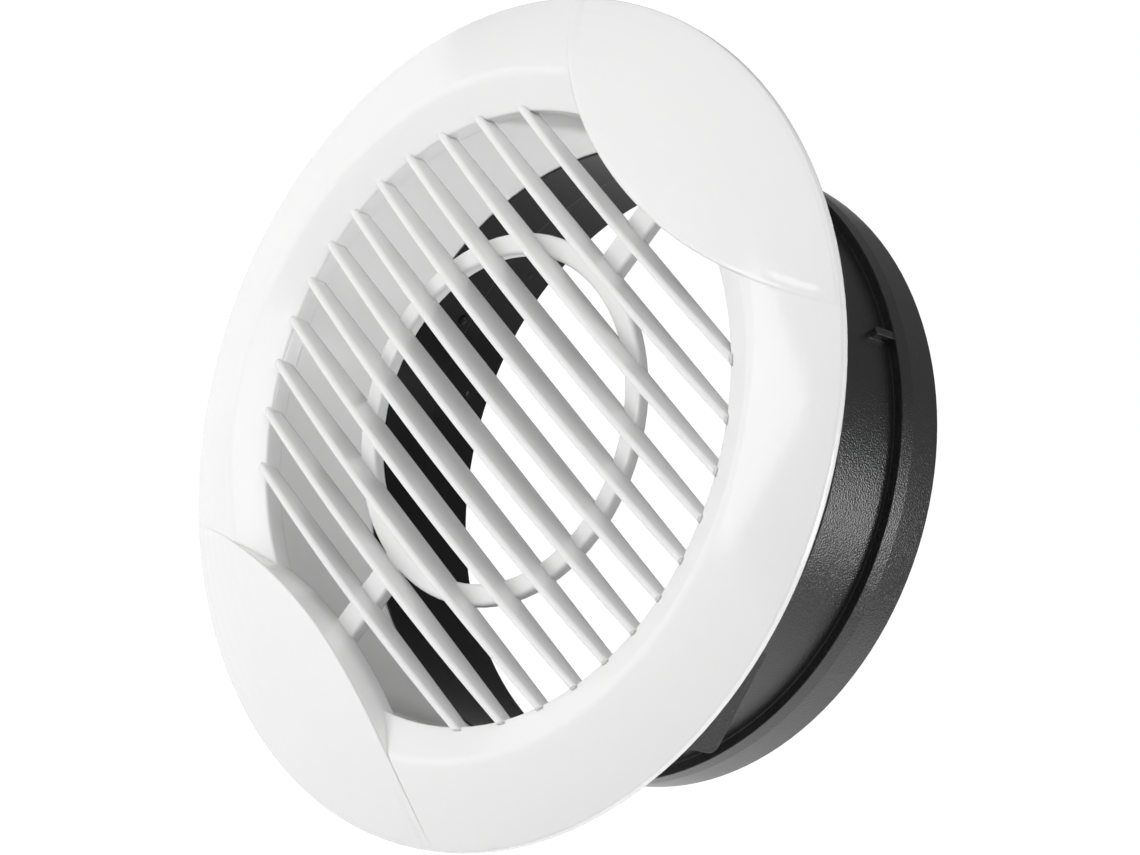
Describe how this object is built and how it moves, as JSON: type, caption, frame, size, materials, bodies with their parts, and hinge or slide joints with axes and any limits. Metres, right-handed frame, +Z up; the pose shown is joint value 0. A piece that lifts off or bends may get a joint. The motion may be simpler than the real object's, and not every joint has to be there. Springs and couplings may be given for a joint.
{
  "type": "ventilation grille",
  "caption": "Round ventilation grille with a domed flange, petals above and below bowed horizontal slats, and a stepped duct spigot with spring tongues behind.",
  "frame": {"origin": "centre of the wall plane that the flange's outer edge lies on, on the axis of the opening", "axes": "+X to the right along the slats as seen from the front, -Y out of the face, +Y into the wall along the duct, +Z up"},
  "size_m": [0.197, 0.077, 0.197],
  "materials": {
    "white_plastic": "glossy white moulded plastic",
    "black_plastic": "satin black moulded plastic with a fine grain"
  },
  "bodies": {
    "root": {"front_cover": "white_plastic", "base_ring": "black_plastic"}
  },
  "joints": []
}
